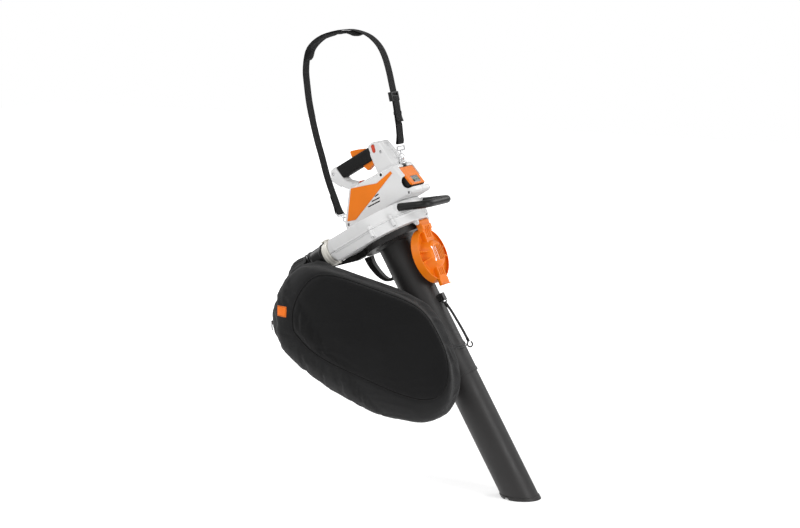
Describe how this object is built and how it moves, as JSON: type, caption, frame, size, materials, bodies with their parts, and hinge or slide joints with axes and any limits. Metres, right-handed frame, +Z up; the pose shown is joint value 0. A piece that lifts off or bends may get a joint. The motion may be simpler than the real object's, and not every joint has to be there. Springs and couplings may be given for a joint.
{
  "type": "leaf vacuum mulcher",
  "caption": "Handheld battery leaf vacuum and mulcher: a leaning suction tube, fan housing with handle, shoulder strap and side catcher bag.",
  "frame": {"origin": "centre of the suction mouth on the floor plane", "axes": "+Z up, +X forward, -Y the operator's right; the tube leans 30.6 degrees back from vertical in the XZ plane"},
  "size_m": [0.7786, 0.3847, 1.2875],
  "materials": {
    "tube_plastic": "moulded with a fine matt grain",
    "white_plastic": "satin moulded",
    "cream_plastic": "satin moulded",
    "black_plastic": "satin moulded",
    "grip_rubber": "ribbed soft-touch overmould",
    "orange_plastic": "satin moulded",
    "red_plastic": "semi-gloss",
    "bright_steel": "polished",
    "motor_metal": "turned",
    "copper": "enamelled windings",
    "impeller_plastic": "glass-filled moulding",
    "board": "solder-masked board",
    "cable": "smooth sleeve",
    "lens": "lit window",
    "webbing": "twill webbing",
    "pad_fabric": "padded mesh cloth",
    "bag_fabric": "plain-weave coated cloth",
    "zip_tape": "woven tape",
    "cord": "braided elastic"
  },
  "bodies": {
    "machine": {"upper_tube": "tube_plastic", "volute_lower": "white_plastic", "volute_upper": "white_plastic", "volute_screws": "bright_steel", "outlet_ring": "cream_plastic", "discharge_elbow": "black_plastic", "bag_band": "black_plastic", "guard_hinge_pin": "bright_steel", "motor_mount": "motor_metal", "motor_can": "motor_metal", "stator": "copper", "lower_bearing": "bright_steel", "upper_bearing": "bright_steel", "housing_right": "white_plastic", "housing_left": "white_plastic", "housing_screws": "bright_steel", "side_panel_right": "orange_plastic", "side_panel_left": "orange_plastic", "grip_cover": "grip_rubber", "trigger_pin": "bright_steel", "trigger_spring": "bright_steel", "lockout_pin": "bright_steel", "trigger_switch": "black_plastic", "control_board": "board", "motor_cable": "cable", "contact_block": "black_plastic", "loop_handle": "black_plastic", "loop_bolts": "bright_steel", "front_eyelet": "bright_steel", "rear_eyelet": "bright_steel", "front_hook": "bright_steel", "rear_hook": "bright_steel", "strap_webbing": "webbing", "shoulder_pad": "pad_fabric", "catcher_bag": "bag_fabric", "bag_zip": "zip_tape", "retention_cord": "cord", "cord_hooks": "black_plastic"},
    "lower_tube_body": {"lower_tube": "tube_plastic"},
    "outlet_latch_body": {"outlet_latch": "cream_plastic"},
    "guard": {"intake_guard": "orange_plastic"},
    "fan": {"rotor": "motor_metal", "motor_shaft": "bright_steel", "impeller": "impeller_plastic", "shredder_blade": "bright_steel", "impeller_nut": "bright_steel"},
    "trigger_body": {"trigger": "orange_plastic"},
    "lockout_body": {"lockout_lever": "orange_plastic"},
    "setting_button_body": {"setting_button": "red_plastic"},
    "lock_slider_body": {"lock_slider": "red_plastic"},
    "battery": {"battery_case": "black_plastic", "battery_face": "orange_plastic", "charge_lens": "lens"},
    "charge_button_body": {"charge_button": "black_plastic"},
    "battery_latch_body": {"battery_latch": "black_plastic"},
    "front_gate_body": {"front_gate": "bright_steel"},
    "rear_gate_body": {"rear_gate": "bright_steel"},
    "adjuster": {"strap_adjuster": "black_plastic"},
    "zip_slider_body": {"zip_slider": "bright_steel"}
  },
  "joints": [
    {"name": "lower_tube_slide", "type": "slide", "parent": "machine", "child": "lower_tube_body", "axis": [0.509, 0, -0.8607], "range_m": [0, 0.055]},
    {"name": "outlet_latch_hinge", "type": "hinge", "parent": "machine", "child": "outlet_latch_body", "pos_m": [-0.58059, -0.088, 0.69295], "axis": [0, 1, 0], "range_deg": [0, 60]},
    {"name": "guard_hinge", "type": "hinge", "parent": "machine", "child": "guard", "pos_m": [-0.31866, 0, 0.75492], "axis": [0, -1, 0], "range_deg": [-2, 60]},
    {"name": "impeller_spin", "type": "hinge", "parent": "machine", "child": "fan", "pos_m": [-0.43778, 0, 0.74024], "axis": [-0.509, 0, 0.8607], "continuous": true},
    {"name": "trigger_pull", "type": "hinge", "parent": "machine", "child": "trigger_body", "pos_m": [-0.48903, 0, 0.93299], "axis": [0, 1, 0], "range_deg": [0, 10]},
    {"name": "lockout_press", "type": "hinge", "parent": "machine", "child": "lockout_body", "pos_m": [-0.50617, 0, 0.93447], "axis": [0, -1, 0], "range_deg": [0, 8]},
    {"name": "setting_button_press", "type": "slide", "parent": "machine", "child": "setting_button_body", "axis": [0, 1, 0], "range_m": [0, 0.0025]},
    {"name": "lock_slider_slide", "type": "slide", "parent": "machine", "child": "lock_slider_body", "axis": [0.9677, 0, 0.2521], "range_m": [0, 0.006]},
    {"name": "battery_slide", "type": "slide", "parent": "machine", "child": "battery", "axis": [0.7181, 0, 0.6959], "range_m": [0, 0.12]},
    {"name": "charge_button_press", "type": "slide", "parent": "battery", "child": "charge_button_body", "axis": [-0.7181, 0, -0.6959], "range_m": [0, 0.0012]},
    {"name": "battery_latch_lift", "type": "hinge", "parent": "machine", "child": "battery_latch_body", "pos_m": [-0.4023, 0, 0.88961], "axis": [0, -1, 0], "range_deg": [0, 3]},
    {"name": "front_gate_open", "type": "hinge", "parent": "machine", "child": "front_gate_body", "pos_m": [-0.37971, 0, 0.94259], "axis": [0, 1, 0], "range_deg": [0, 22]},
    {"name": "rear_gate_open", "type": "hinge", "parent": "machine", "child": "rear_gate_body", "pos_m": [-0.57047, 0, 0.74941], "axis": [0, 1, 0], "range_deg": [0, 22]},
    {"name": "adjuster_slide", "type": "slide", "parent": "machine", "child": "adjuster", "axis": [-0.225, 0, 0.9744], "range_m": [-0.015, 0.015]},
    {"name": "zip_slide", "type": "slide", "parent": "machine", "child": "zip_slider_body", "axis": [-0.1045, 0, 0.9945], "range_m": [-0.015, 0.015]}
  ]
}
